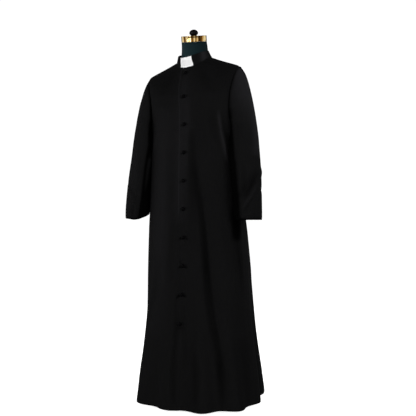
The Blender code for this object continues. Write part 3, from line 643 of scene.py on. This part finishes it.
def subdivided(piece, levels):
    """Smooth a piece, and keep its smooth surface on the points that it started from."""
    settings = {"boundary_smooth": "PRESERVE_CORNERS"}
    aims = points_of(piece.data)
    cage = aims.copy()
    for _ in range(FITTING_ROUNDS):
        smooth = modified(piece, "SUBSURF", levels=1, render_levels=1, **settings)
        cage += aims - points_of(smooth)[: len(aims)]
        move_points(piece.data, cage)
        bpy.data.meshes.remove(smooth)
    applied(piece, "SUBSURF", levels=levels, render_levels=levels, **settings)


# ---------------------------------------------------------------- cloth


def islands(bm):
    """Yield each set of faces that hang together."""
    left = set(bm.faces)
    while left:
        island = set()
        rim = [left.pop()]
        while rim:
            face = rim.pop()
            island.add(face)
            for near in {f for edge in face.edges for f in edge.link_faces} & left:
                left.discard(near)
                rim.append(near)
        yield island


def outer_sheet(node, wall):
    """Copy a cloth wall and keep its outer side, in quads."""
    bm = bmesh.new()
    bm.from_mesh(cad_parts[node].data)
    bmesh.ops.remove_doubles(bm, verts=bm.verts, dist=WELD)
    rim = [f for f in bm.faces if min(e.calc_length() for e in f.edges) < RIM_EDGE * wall]
    bmesh.ops.delete(bm, geom=rim, context="FACES")
    outer = max(islands(bm), key=lambda faces: sum(face.calc_area() for face in faces))
    inner = [face for face in bm.faces if face not in outer]
    bmesh.ops.delete(bm, geom=inner, context="FACES")
    bmesh.ops.join_triangles(bm, faces=bm.faces, angle_face_threshold=pi, angle_shape_threshold=pi)
    return bm


def points_of(mesh):
    flat = np.empty(len(mesh.vertices) * 3)
    mesh.vertices.foreach_get("co", flat)
    return flat.reshape(-1, 3)


def normals_of(mesh):
    flat = np.empty(len(mesh.vertices) * 3)
    mesh.vertex_normals.foreach_get("vector", flat)
    return flat.reshape(-1, 3)


def move_points(mesh, points):
    mesh.vertices.foreach_set("co", points.ravel())
    mesh.update()


def edges_of(mesh):
    """The ends of a sheet's edges, and how many faces meet at each edge."""
    faces = np.zeros(len(mesh.edges), dtype=int)
    edge_of_corner = np.empty(len(mesh.loops), dtype=int)
    mesh.loops.foreach_get("edge_index", edge_of_corner)
    np.add.at(faces, edge_of_corner, 1)
    ends = np.empty(len(mesh.edges) * 2, dtype=int)
    mesh.edges.foreach_get("vertices", ends)
    return ends.reshape(-1, 2), faces


def outward_at_edge(mesh, points, normals):
    """Which way the sheet would grow at each point of its edge; nothing for its other points."""
    ends, faces = edges_of(mesh)
    on_edge = np.zeros(len(points), dtype=bool)
    on_edge[ends[faces == 1].ravel()] = True
    outward = np.zeros_like(points)
    for near, far in ((0, 1), (1, 0)):
        crossing = ends[on_edge[ends[:, near]] & ~on_edge[ends[:, far]]]
        steps = points[crossing[:, near]] - points[crossing[:, far]]
        np.add.at(outward, crossing[:, near], steps)
    outward -= normals * (outward * normals).sum(axis=1)[:, None]
    return outward / np.maximum(np.linalg.norm(outward, axis=1), WELD)[:, None]


def edge_distance(mesh, points):
    """How far each point of a sheet is from the sheet's edge."""
    ends, faces = edges_of(mesh)
    border = np.unique(ends[faces == 1])
    tree = kdtree.KDTree(len(border))
    for number, index in enumerate(border):
        tree.insert(points[index], number)
    tree.balance()
    return np.array([tree.find(point)[2] for point in points])


def fade(distances, reach):
    """A share that falls from 1 at no distance towards 0 past the reach."""
    return np.exp(-((distances / reach) ** 2))


def beside(line, turns, heights, radii):
    """How far along a crease or shade each point is, and how many of its widths aside."""
    along = np.clip((line.top - heights) / (line.top - line.low), 0.0, 1.0)
    stray = MEANDER * np.sin(MEANDER_RATE * heights + line.turn_top)
    stray += line.bow * 4.0 * along * (1.0 - along)
    middle = line.turn_top + (line.turn_low - line.turn_top) * along + stray
    aside = np.radians((turns - middle + 180.0) % 360.0 - 180.0) * radii / line.width
    return along, aside


def crease_lift(creases, turns, heights, radii):
    """How far the creases raise each point."""
    lift = np.zeros(len(turns))
    for crease in creases:
        along, aside = beside(crease, turns, heights, radii)
        lift += crease.depth * np.exp(-(aside**2)) * np.sin(pi * along) ** CREASE_FADE
    return lift


def painted_light_of_shades(shades, turns, heights, radii):
    """How much painted shade or highlight the shades give each point."""
    nap = np.zeros(len(turns))
    for shade in shades:
        along, aside = beside(shade, turns, heights, radii)
        power = PAINTED_SHADE_POWER if shade.nap < 0.0 else PAINTED_HIGHLIGHT_POWER
        nap += shade.nap * np.exp(-(np.abs(aside) ** power)) * np.sin(pi * along) ** SHADE_FADE
    return nap


def dent_lift(points):
    """How far the dents round the buttons raise each point of the lapping front."""
    lift = np.zeros(len(points))
    for dent in DENTS:
        lean = radians(dent.tilt)
        for node in BUTTONS[dent.first - 1 : dent.last]:
            middle = turned_solid(node)[0]
            across = points[:, 0] - middle[0] - dent.across
            up = points[:, 2] - middle[2] - dent.up
            along = (across * cos(lean) + up * sin(lean)) / dent.length
            aside = (up * cos(lean) - across * sin(lean)) / dent.width
            lift += dent.depth * np.exp(-(along**2) - aside**2)
    return lift


def finer_at_buttons(piece):
    """Cut more rows into the lapping front round its buttons."""
    bm = bmesh.new()
    bm.from_mesh(piece.data)
    for node in BUTTONS:
        middle = Vector(turned_solid(node)[0])
        for row in range(-DENT_ROWS // 2, DENT_ROWS // 2 + 1):
            height = middle.z + row * DENT_ROW
            near = [
                face
                for face in bm.faces
                if abs(face.calc_center_median().x - middle.x) < DENT_SIDE
                and min(v.co.z for v in face.verts) < height < max(v.co.z for v in face.verts)
            ]
            cut = set(near) | {edge for face in near for edge in face.edges}
            cut |= {vert for face in near for vert in face.verts}
            place = (0.0, 0.0, height)
            bmesh.ops.bisect_plane(bm, geom=list(cut), dist=0.0, plane_co=place, plane_no=UP)
    bm.to_mesh(piece.data)
    bm.free()


def slow_ripple(points, seed):
    """Soft unevenness that is longer along the drop than across it."""
    places = points * np.array(RIPPLE_RATE) + seed
    return np.array([noise.noise(Vector(place)) for place in places]) * RIPPLE


def map_weave(mesh, across, up):
    """Lay the weave on a sheet, in metres."""
    layer = mesh.uv_layers.new(name=WEAVE)
    corner = np.empty(len(mesh.loops), dtype=int)
    mesh.loops.foreach_get("vertex_index", corner)
    layer.data.foreach_set("uv", np.stack((across[corner], up[corner]), axis=1).ravel())


def round_body(points):
    """Turn and radius of points round the form."""
    turns = np.degrees(np.arctan2(points[:, 0], -points[:, 1]))
    return turns, np.hypot(points[:, 0], points[:, 1])


def round_arm(points, side):
    """Turn and radius of points round a sleeve, from its front outwards."""
    heights = [p.height for p in ARM_LINE]
    out = side * points[:, 0] - np.interp(points[:, 2], heights, [p.out for p in ARM_LINE])
    back = points[:, 1] - np.interp(points[:, 2], heights, [p.back for p in ARM_LINE])
    return np.degrees(np.arctan2(out, -back)), np.hypot(out, back)


def cloth_piece(node, name, material, creases, shades, around, levels=FINE_LEVELS, seam_painted_shade=0.0):
    """A cloth sheet on its solid's form, creased, given painted shade and highlights, and rolled into
    its seams.
    """
    piece = from_bmesh(name, outer_sheet(node, WALL))
    subdivided(piece, levels)
    laps = node == LAPPING_FRONT
    if laps:
        finer_at_buttons(piece)
    mesh = piece.data
    points = points_of(mesh)
    turns, radii = around(points)
    heights = points[:, 2]
    edge = edge_distance(mesh, points)
    lift = crease_lift(creases, turns, heights, radii)
    dents = dent_lift(points) if laps else 0.0
    # painted shade from the shade bands, and along a sleeve's seams
    nap = painted_light_of_shades(shades, turns, heights, radii) + seam_painted_shade * fade(edge, SEAM_PAINTED_SHADE_REACH)
    # painted shade in the troughs of creases and dents
    nap += np.minimum(lift / PAINTED_SHADE_DEPTH, 0.0) + np.minimum(dents / DENT_PAINTED_SHADE_DEPTH, 0.0)
    # a painted highlight along the lapping front's free edge
    if laps:
        highlit_edge = (turns < 0.0) & (heights > EDGE_HIGHLIGHT_LOW)
        nap += EDGE_PAINTED_HIGHLIGHT * fade(edge, EDGE_HIGHLIGHT_WIDTH) * highlit_edge
    mesh.attributes.new(PAINTED_LIGHT_ATTRIBUTE, "FLOAT", "POINT").data.foreach_set("value", np.clip(nap, -1.0, 1.0))
    lift = (lift + dents + slow_ripple(points, float(len(name)))) * (1.0 - fade(edge, CREASE_MARGIN))
    lift -= SEAM_ROLL * fade(edge, SEAM_REACH)
    lift += np.where(heights < HEM_TURNING, HEM_LIFT, 0.0)
    map_weave(mesh, np.radians(turns) * float(np.mean(radii)), heights)
    normals = normals_of(mesh)
    closing = outward_at_edge(mesh, points, normals) * SEAM_CLOSING
    move_points(mesh, points + normals * lift[:, None] + closing)
    put_on(piece, material, "black_cloth", node)
    return piece


def thicken(piece, wall=WALL):
    """Give a sheet its thickness, inwards from its outer side."""
    applied(piece, "SOLIDIFY", thickness=wall, offset=-1.0)
    smooth_shaded(piece.data)


# ---------------------------------------------------------------- buttons and other turned pieces


def turned_solid(node):
    """The middle, axis and points of a turned solid: it spreads alike to all sides of its axis."""
    points = points_of(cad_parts[node].data)
    points = np.unique(np.round(points, POINT_DIGITS), axis=0)
    middle = (points.min(axis=0) + points.max(axis=0)) / 2.0
    spreads, ways = np.linalg.eigh(np.cov((points - middle).T))
    flat = spreads[1] - spreads[0] > spreads[2] - spreads[1]
    return middle, Vector(ways[:, 0 if flat else 2]), points


def turned_frame(node, toward=UP):
    """A turned solid's matrix, from the middle of its foot up, its radius and its height."""
    _, axis, points = turned_solid(node)
    if axis.dot(Vector(toward)) < 0.0:
        axis.negate()
    along = points @ np.array(axis)
    aside = points - along[:, None] * np.array(axis)
    ring = aside.mean(axis=0)
    radius = float(np.linalg.norm(aside - ring, axis=1).max())
    foot = Vector(ring) + axis * float(along.min())
    turn = Vector(UP).rotation_difference(axis).to_matrix().to_4x4()
    return Matrix.Translation(foot) @ turn, radius, float(along.max() - along.min())


def button_frame(node):
    """The matrix, radius and height of a button, whose top points away from the form."""
    across, back, _ = turned_solid(node)[0]
    return turned_frame(node, (across, back, 0.0))


def spin_round(bm, profile, sides):
    """Spin what a bmesh holds once round the upright axis through the origin, and close it up."""
    turn = {"cent": (0.0, 0.0, 0.0), "axis": UP, "angle": tau}
    bmesh.ops.spin(bm, geom=profile, **turn, steps=sides, use_merge=True)
    bmesh.ops.remove_doubles(bm, verts=bm.verts, dist=WELD)
    bmesh.ops.recalc_face_normals(bm, faces=bm.faces)


def turned_piece(name, profile, place, sides):
    """Spin a profile of (radius, height) points once round the place's axis."""
    bm = bmesh.new()
    verts = [bm.verts.new((radius, 0.0, height)) for radius, height in profile]
    edges = [bm.edges.new(pair) for pair in zip(verts, verts[1:])]
    spin_round(bm, verts + edges, sides)
    bmesh.ops.transform(bm, matrix=place, verts=bm.verts)
    return from_bmesh(name, bm)


def arc(middle, radius, start, end, steps):
    """Points of an arc in a profile, angles in degrees from level outwards."""
    turns = (radians(start + (end - start) * step / steps) for step in range(steps + 1))
    return [(middle[0] + radius * cos(t), middle[1] + radius * sin(t)) for t in turns]


def button(node, material):
    """A cloth-covered button: a rolled rim, a low dome and the tucked cloth under it."""
    place, radius, height = button_frame(node)
    rim = BUTTON_RIM * height
    foot = radius - BUTTON_FOOT * rim
    dome = height - 2.0 * rim
    tuck_in, tuck_up = BUTTON_TUCK
    profile = [(0.0, 0.0), (foot, 0.0), (radius - tuck_in * rim, tuck_up * rim)]
    profile += arc((radius - rim, BUTTON_RIM_RISE * rim), rim, -70.0, 60.0, steps=8)
    for turn in map(radians, BUTTON_CROWN):
        profile.append((foot * sin(turn), 2.0 * rim + dome * cos(turn)))
    profile.append((0.0, height))
    piece = turned_piece(f"{node}_covered", profile, place, sides=36)
    put_on(piece, material, "button_cloth", node)


def base_piece(material):
    """The round weighted base with its hub."""
    place, radius, height = turned_frame("stand_base")
    chamfer_in, chamfer_up = BASE_CHAMFER
    rounding = radius - BASE_ROUND
    hub = BASE_SLOPE[-1].radius - HUB_ROUND
    profile = [(0.0, 0.0), (rounding, 0.0), (radius - chamfer_in, chamfer_up)]
    profile += arc((rounding, BASE_EDGE - BASE_ROUND), BASE_ROUND, 0.0, 80.0, steps=6)
    profile += BASE_SLOPE
    profile += arc((hub, height - HUB_ROUND), HUB_ROUND, 0.0, 90.0, steps=5)
    profile.append((0.0, height))
    piece = turned_piece("stand_base_turned", profile, place, sides=96)
    put_on(piece, material, "dark_steel", "stand_base")


def pole_piece(material):
    """The pole with the groove for its clamp."""
    place, radius, height = turned_frame("stand_pole")
    groove = radius - CLAMP_DEPTH
    low = height - CLAMP_FOOT
    high = height - CLAMP_TOP
    profile = [(0.0, 0.0), (radius - POLE_CHAMFER, 0.0), (radius, POLE_CHAMFER), (radius, low)]
    profile += [(groove, low + CLAMP_SLOPE), (groove, high - CLAMP_SLOPE), (radius, high)]
    profile += [(radius, height), (0.0, height)]
    piece = turned_piece("stand_pole_turned", profile, place, sides=48)
    put_on(piece, material, "dark_steel", "stand_pole")


def cap_piece(material):
    """The brass cap on the neck, rolled at its edges and dished on top."""
    place, radius, height = turned_frame("neck_cap")
    wall = radius - CAP_WALL_DEPTH
    inner = radius - CAP_ROLL
    top = height - CAP_ROLL
    profile = [(0.0, 0.0), (inner, 0.0)]
    profile += arc((inner, CAP_ROLL), CAP_ROLL, -80.0, 0.0, steps=5)
    profile += [(radius, CAP_ROLL + CAP_LIP), (wall, CAP_ROLL + CAP_SLOPE)]
    profile += [(wall, top - CAP_SLOPE), (radius, top - CAP_LIP)]
    profile += arc((inner, top), CAP_ROLL, 0.0, 90.0, steps=6)
    profile += [(share * radius, height - depth) for share, depth in CAP_DISH]
    piece = turned_piece("neck_cap_turned", profile, place, sides=96)
    put_on(piece, material, "brass", "neck_cap")


def knob_piece(material):
    """The gloss knob on the cap."""
    place, radius, height = turned_frame("neck_knob")
    waist = KNOB_WAIST * height
    profile = [(0.0, 0.0), (KNOB_FOOT * radius, 0.0)]
    for turn in range(KNOB_LOWEST, 90, KNOB_STEP):
        reach = waist if turn < 0 else height - waist
        profile.append((radius * cos(radians(turn)), waist + reach * sin(radians(turn))))
    profile.append((0.0, height))
    piece = turned_piece("neck_knob_turned", profile, place, sides=64)
    put_on(piece, material, "black_lacquer", "neck_knob")


def form_piece(material):
    """The torso and neck under the cloth, smoothed but for the sharp rims of its ends."""
    bm = bmesh.new()
    bm.from_mesh(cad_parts["form_torso"].data)
    bmesh.ops.remove_doubles(bm, verts=bm.verts, dist=WELD)
    limits = {"angle_face_threshold": radians(FORM_JOIN_ANGLE), "angle_shape_threshold": pi}
    bmesh.ops.join_triangles(bm, faces=bm.faces, **limits)
    hold = bm.edges.layers.float.new("crease_edge")
    for edge in bm.edges:
        if edge.calc_face_angle(0.0) > radians(SHARP_ANGLE):
            edge[hold] = 1.0
    piece = from_bmesh("form_torso_covered", bm)
    subdivided(piece, SMALL_LEVELS)
    put_on(piece, material, "form_jersey", "form_torso")


# ---------------------------------------------------------------- sewing


def surface_tree(piece):
    graph = bpy.context.evaluated_depsgraph_get()
    return BVHTree.FromObject(piece, graph)


def on_cloth(tree, turn, height):
    """The cloth's outer point at a turn and height, and its normal, or None beside the cloth."""
    outward = Vector((sin(radians(turn)), -cos(radians(turn)), 0.0))
    start = outward * CAST_RADIUS + Vector((0.0, 0.0, height))
    hit = tree.ray_cast(start, -outward)
    return None if hit[0] is None else (hit[0], hit[1])


def free_edge(piece):
    """Heights and turns of a front's free edge, from the hem up."""
    points = points_of(piece.data)
    turns, _ = round_body(points)
    levels = np.arange(EDGE_STEP, EDGE_TOP, EDGE_STEP)
    edge = [turns[np.abs(points[:, 2] - level) < EDGE_BAND].min() for level in levels]
    return levels, np.array(edge)


def stitch_row(name, tree, route, material):
    """Short stitches laid end to end along a route of (turn, height) pairs."""
    bm = bmesh.new()
    spots = [on_cloth(tree, turn, height) for turn, height in route]
    for spot, ahead in zip(spots, spots[1:]):
        if spot is None or ahead is None:
            continue
        along = (ahead[0] - spot[0]).normalized()
        side = spot[1].cross(along).normalized()
        up = along.cross(side)
        turn = Matrix((along, side, up)).transposed().to_4x4()
        grain = Matrix.Diagonal((STITCH_LENGTH / 2.0, THREAD_RADIUS, THREAD_RADIUS, 1.0))
        middle = Matrix.Translation(spot[0] + spot[1] * THREAD_RADIUS * THREAD_STAND)
        place = middle @ turn @ grain
        bmesh.ops.create_uvsphere(bm, u_segments=6, v_segments=4, radius=1.0, matrix=place)
    put_on(from_bmesh(name, bm), material, "black_cloth")


def edge_stitching(front, tree, material):
    """The row that holds the lapping front's edge."""
    levels, turns = free_edge(front)
    start = levels[0] + EDGE_STITCH_START
    heights = np.arange(start, levels[-1] - EDGE_STITCH_END, STITCH_PITCH)
    radii = np.where(heights < HEM_FLARE, HEM_FLARE_RADIUS, EDGE_RADIUS)
    route = np.interp(heights, levels, turns) + np.degrees(EDGE_STITCH_IN / radii)
    stitch_row("front_edge_stitching", tree, zip(route, heights), material)


def slot_ring():
    """A corded ring drawn out to a slot's length, level, with its middle at the origin."""
    bm = bmesh.new()
    upright = Matrix.Translation((HOLE_WIDTH / 2.0, 0.0, 0.0)) @ Matrix.Rotation(pi / 2.0, 4, "X")
    cord = bmesh.ops.create_circle(bm, segments=6, radius=HOLE_THREAD, matrix=upright)
    spin_round(bm, cord["verts"] + bm.edges[:], sides=28)
    for side in (-1.0, 1.0):
        half = [vert for vert in bm.verts if vert.co.x * side > 0.0]
        bmesh.ops.translate(bm, verts=half, vec=(side * (HOLE_LENGTH - HOLE_WIDTH) / 2.0, 0.0, 0.0))
    return bm


def buttonholes(tree, material):
    """A bound slot under each button, level and longer than the button."""
    bm = bmesh.new()
    slot = slot_ring()
    ring = bpy.data.meshes.new("slot_ring")
    slot.to_mesh(ring)
    slot.free()
    for node in BUTTONS:
        place = button_frame(node)[0]
        out = place.to_3x3() @ Vector(UP)
        side = Vector(UP).cross(out).normalized()
        turn = Matrix((side, out.cross(side), out)).transposed()
        centre = place.translation + side * HOLE_SHIFT
        known = set(bm.verts)
        bm.from_mesh(ring)
        for vert in set(bm.verts) - known:
            spot = centre + turn @ Vector((vert.co.x, vert.co.y, 0.0))
            hit = tree.ray_cast(spot + out * CAST_HEIGHT, -out)
            vert.co = (spot if hit[0] is None else hit[0]) + out * vert.co.z
    bpy.data.meshes.remove(ring)
    put_on(from_bmesh("buttonholes", bm), material, "black_cloth")


# ---------------------------------------------------------------- the garment


def make_body(cloth):
    """The fronts and the backs."""
    pieces = {}
    for part in ("front", "back"):
        for word in ("left", "right"):
            node = f"{part}_{word}"
            name = f"{word}_{part}_cloth"
            pieces[node] = cloth_piece(node, name, cloth, BODY_CREASES, BODY_SHADES, round_body)
    return pieces


def make_sleeves(cloth):
    """The top and under side of each sleeve."""
    pieces = {}
    sides = (
        (1, "left", LEFT_SLEEVE_CREASES, LEFT_SLEEVE_SHADES),
        (-1, "right", RIGHT_SLEEVE_CREASES, RIGHT_SLEEVE_SHADES),
    )
    for side, word, creases, shades in sides:
        around = partial(round_arm, side=side)
        for part in ("top", "under"):
            node = f"sleeve_{word}_{part}"
            name = f"{word}_sleeve_{part}_cloth"
            pieces[node] = cloth_piece(node, name, cloth, creases, shades, around, seam_painted_shade=SEAM_PAINTED_SHADE)
    return pieces


def make_collar(cloth, white):
    """The band, and the finished white insert behind its notch."""
    name = "collar_band_cloth"
    band = cloth_piece("collar_band", name, cloth, (), COLLAR_SHADES, round_body, SMALL_LEVELS)
    tab = from_bmesh("collar_tab_linen", outer_sheet("collar_tab", TAB_WALL))
    subdivided(tab, FINE_LEVELS)
    places = points_of(tab.data)[:, [0, 2]]
    low, high = TAB_INNER
    inner = ((places > low) & (places < high)).all(axis=1)
    shade = tab.data.attributes.new("inner", "FLOAT", "POINT")
    shade.data.foreach_set("value", inner.astype(float))
    thicken(tab, TAB_WALL)
    put_on(tab, white, "white_tab", "collar_tab")
    return band


def world_light():
    """A dim room, palest overhead."""
    world = bpy.data.worlds.new("studio")
    bpy.context.scene.world = world
    room = Nodes(world)
    rise = room.part_of(room.node("ShaderNodeTexCoord", output="Generated"), "Z")
    low, high = ROOM_RISE
    stops = ((low, (ROOM_LEVEL, ROOM_LEVEL, ROOM_LEVEL)), (high, (1.0, 1.0, 1.0)))
    grey = room.node("ShaderNodeValToRGB", {"stops": stops}, {"Fac": rise})
    sky = room.node("ShaderNodeBackground", sockets={"Color": grey, "Strength": ROOM_LIGHT})
    room.node("ShaderNodeOutputWorld", sockets={"Surface": sky})


def soft_box(lamp, distance):
    """A large soft light that faces the form from a distance."""
    light = bpy.data.lights.new(lamp.name, "AREA")
    light.shape = "RECTANGLE"
    light.size, light.size_y = lamp.size
    light.energy = lamp.watts
    box = new_object(lamp.name, light)
    turn = radians(lamp.turn)
    box.location = (distance * sin(turn), -distance * cos(turn), lamp.height)
    aim = Vector((0.0, 0.0, LIGHT_AIM)) - box.location
    box.rotation_euler = aim.to_track_quat("-Z", "Y").to_euler()
    return box


def stage_piece(name, bm, material):
    """A floor or backdrop that is seen, and takes shadows, but lights nothing."""
    piece = from_bmesh(name, bm, smooth=False)
    piece.data.materials.append(material)
    piece.visible_diffuse = False
    piece.visible_glossy = False
    piece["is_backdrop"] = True
    return piece


def studio():
    """The room, its lights and the camera."""
    world_light()
    bm = bmesh.new()
    bmesh.ops.create_circle(bm, cap_ends=True, radius=STAGE_RADIUS, segments=96)
    stage_piece("floor", bm, studio_floor())
    bm = bmesh.new()
    bmesh.ops.create_uvsphere(bm, u_segments=64, v_segments=32, radius=STAGE_RADIUS)
    bmesh.ops.reverse_faces(bm, faces=bm.faces)
    stage_piece("backdrop", bm, backdrop_white()).visible_shadow = False
    for lamp in SOFT_BOXES:
        soft_box(lamp, BOX_DISTANCE).visible_glossy = lamp.name == GLOSSY_BOX
    for lamp in REFLECTORS:
        soft_box(lamp, REFLECTOR_DISTANCE).visible_diffuse = False
    turn = radians(VIEW_TURN)
    camera = bpy.data.cameras.new("camera")
    camera.lens = VIEW_LENS
    camera.sensor_width = VIEW_SENSOR
    camera.shift_y = VIEW_RISE
    view = new_object("camera", camera)
    view.location = (
        VIEW_DISTANCE * sin(turn) + VIEW_ASIDE * cos(turn),
        -VIEW_DISTANCE * cos(turn) + VIEW_ASIDE * sin(turn),
        VIEW_HEIGHT,
    )
    view.rotation_euler = (radians(90.0), 0.0, turn)
    bpy.context.scene.camera = view
    bpy.context.scene.view_settings.view_transform = "Standard"


def main():
    studio()
    cloth = black_cloth()
    thread = sewing_thread()
    covered = button_cloth()
    body = make_body(cloth)
    sleeves = make_sleeves(cloth)
    collar = make_collar(cloth, white_tab())
    front = body[LAPPING_FRONT]
    tree = surface_tree(front)
    edge_stitching(front, tree, thread)
    buttonholes(tree, thread)
    for node, piece in body.items():
        thicken(piece)
    for node, piece in sleeves.items():
        thicken(piece)
    thicken(collar)
    for node in BUTTONS:
        button(node, covered)
    form_piece(form_jersey())
    cap_piece(brass())
    knob_piece(black_lacquer())
    steel = dark_steel()
    base_piece(steel)
    pole_piece(steel)


main()
boxes = {"cad": CAD_BOX, "visual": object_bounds()}
{name: [list(corner) for corner in box] for name, box in boxes.items()}
